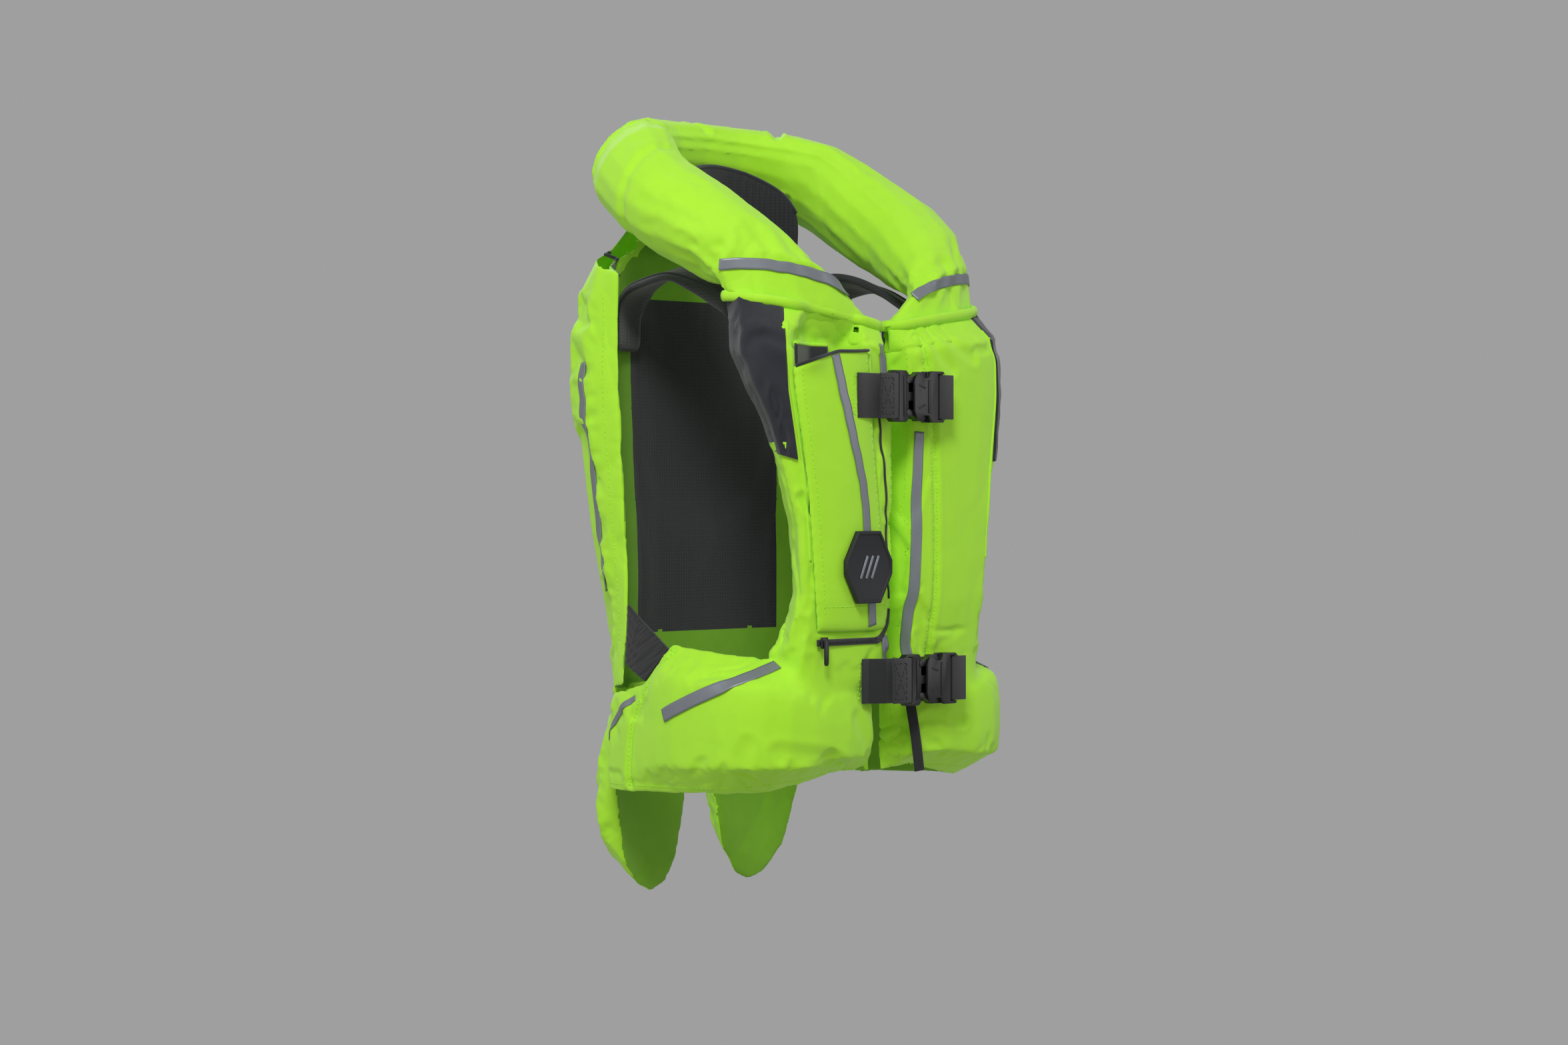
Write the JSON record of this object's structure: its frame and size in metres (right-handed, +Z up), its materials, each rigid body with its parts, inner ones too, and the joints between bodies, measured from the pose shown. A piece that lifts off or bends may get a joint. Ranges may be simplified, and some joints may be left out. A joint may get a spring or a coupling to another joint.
{
  "type": "inflatable life jacket",
  "caption": "Inflated airbag vest with a horseshoe collar, hip wraps and tail lobes around a torso, closed across the front by side release buckles, with a cargo pocket for its gas inflator.",
  "frame": {"origin": "between the shoulders, at the height where the shoulder pads rest on the wearer", "axes": "+Z up the body, -Y towards the wearer's front, -X to the wearer's right"},
  "size_m": [0.3546, 0.3224, 0.7237],
  "materials": {
    "neon_twill": "dense diagonal twill polyester, matte, tone on tone stitching",
    "shade_twill": "inner side of the neon twill, matte",
    "air_film": "smooth coated air bladder film",
    "mesh_lining": "black knitted spacer mesh",
    "softshell": "black softshell with a fine diagonal weave",
    "padded_mesh": "padded black mesh with bound edges",
    "reflective_tape": "grey retro-reflective tape",
    "webbing": "black ribbed polyester webbing",
    "buckle_plastic": "black semi-gloss moulded acetal",
    "inflator_plastic": "black moulded nylon",
    "gas_steel": "zinc plated steel",
    "badge_rubber": "moulded black rubber patch",
    "zip_tape": "black coated zip tape"
  },
  "bodies": {
    "vest": {"back_bladder": "air_film", "back_cover": "neon_twill", "back_lining": "mesh_lining", "back_strip_left": "reflective_tape", "back_strip_right": "reflective_tape", "chest_insert_left": "softshell", "chest_insert_right": "softshell", "collar_bladder": "air_film", "collar_cover": "neon_twill", "collar_strip_left": "reflective_tape", "collar_strip_right": "reflective_tape", "front_left_bladder": "air_film", "front_left_cover": "neon_twill", "front_left_lining": "mesh_lining", "front_right_bladder": "air_film", "front_right_cover": "neon_twill", "front_right_lining": "mesh_lining", "hex_badge": "badge_rubber", "hip_wrap_left_bladder": "air_film", "hip_wrap_left_cover": "neon_twill", "hip_wrap_left_lining": "shade_twill", "hip_wrap_right_bladder": "air_film", "hip_wrap_right_cover": "neon_twill", "hip_wrap_right_lining": "shade_twill", "inflator_body": "inflator_plastic", "lower_plug": "buckle_plastic", "lower_webbing_right": "webbing", "neck_liner": "padded_mesh", "placket_strip_left": "reflective_tape", "pocket_lining": "softshell", "pocket_shell": "neon_twill", "pocket_strip": "reflective_tape", "pocket_zip": "zip_tape", "shoulder_pad_left": "padded_mesh", "shoulder_pad_right": "padded_mesh", "side_elastic_left": "webbing", "side_elastic_right": "webbing", "tail_bladder": "air_film", "tail_cover": "neon_twill", "tail_lining": "shade_twill", "upper_plug": "buckle_plastic", "upper_webbing_right": "webbing", "wrap_strip_left": "reflective_tape", "wrap_strip_right": "reflective_tape"},
    "upper_latch": {"upper_socket": "buckle_plastic", "upper_webbing_left": "webbing"},
    "upper_prong_a": {"upper_prong_top": "buckle_plastic"},
    "upper_prong_b": {"upper_prong_bottom": "buckle_plastic"},
    "lower_latch": {"lower_socket": "buckle_plastic", "lower_webbing_left": "webbing"},
    "lower_prong_a": {"lower_prong_top": "buckle_plastic"},
    "lower_prong_b": {"lower_prong_bottom": "buckle_plastic"},
    "zip_slider": {"zip_slider": "buckle_plastic"},
    "zip_puller": {"zip_puller": "buckle_plastic"},
    "gas_cylinder": {"gas_cylinder": "gas_steel"}
  },
  "joints": [
    {"name": "upper_buckle_release", "type": "slide", "parent": "vest", "child": "upper_latch", "axis": [1, 0, 0], "range_m": [0, 0.034]},
    {"name": "upper_prong_squeeze", "type": "hinge", "parent": "vest", "child": "upper_prong_a", "pos_m": [-0.0065, -0.161, -0.1095], "axis": [0, 1, 0], "range_deg": [0, 8], "stiffness_Nm_per_rad": 0.2},
    {"name": "upper_prong_follow", "type": "hinge", "parent": "vest", "child": "upper_prong_b", "pos_m": [-0.0065, -0.161, -0.1385], "axis": [0, 1, 0], "range_deg": [-8, 0], "stiffness_Nm_per_rad": 0.2},
    {"name": "lower_buckle_release", "type": "slide", "parent": "vest", "child": "lower_latch", "axis": [1, 0, 0], "range_m": [0, 0.034]},
    {"name": "lower_prong_squeeze", "type": "hinge", "parent": "vest", "child": "lower_prong_a", "pos_m": [0.0105, -0.161, -0.3635], "axis": [0, 1, 0], "range_deg": [0, 8], "stiffness_Nm_per_rad": 0.2},
    {"name": "lower_prong_follow", "type": "hinge", "parent": "vest", "child": "lower_prong_b", "pos_m": [0.0105, -0.161, -0.3925], "axis": [0, 1, 0], "range_deg": [-8, 0], "stiffness_Nm_per_rad": 0.2},
    {"name": "pocket_zip_slide", "type": "slide", "parent": "vest", "child": "zip_slider", "axis": [1, 0, 0], "range_m": [0, 0.056]},
    {"name": "zip_puller_swing", "type": "hinge", "parent": "zip_slider", "child": "zip_puller", "pos_m": [-0.1, -0.15263, -0.34], "axis": [-1, 0, 0], "range_deg": [0, 120]},
    {"name": "cylinder_unscrew", "type": "hinge", "parent": "vest", "child": "gas_cylinder", "pos_m": [-0.0625, -0.13103, -0.2], "axis": [0, 0, 1], "continuous": true}
  ],
  "couplings": [
    {"joint": "upper_prong_follow", "follows": "upper_prong_squeeze", "ratio": -1},
    {"joint": "lower_prong_follow", "follows": "lower_prong_squeeze", "ratio": -1}
  ]
}
